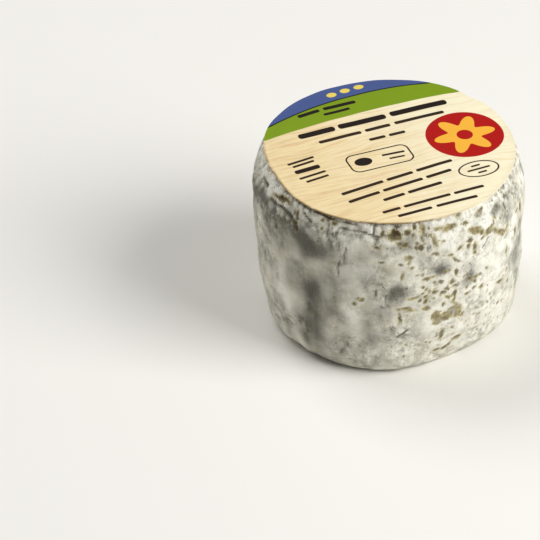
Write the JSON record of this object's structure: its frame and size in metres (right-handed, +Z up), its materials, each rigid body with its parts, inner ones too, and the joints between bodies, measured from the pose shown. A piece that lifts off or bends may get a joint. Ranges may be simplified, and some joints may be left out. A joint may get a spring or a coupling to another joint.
{
  "type": "crottin goat cheese",
  "caption": "Small round ripened goat cheese with a mottled grey and white rind, a flat foot and a round paper label on its top.",
  "frame": {"origin": "middle of the object's footprint, on the flat foot that it stands on", "axes": "+Z up through the drum; +X along the label's reading direction; +Y towards the label's coloured bands"},
  "size_m": [0.0496, 0.0494, 0.0351],
  "materials": {
    "rind": "dry matte rind, white and grey bloom with olive and blue-grey mould patches",
    "label_paper": "smooth printed paper, satin"
  },
  "bodies": {
    "root": {"cheese": "rind", "label": "label_paper"}
  },
  "joints": []
}
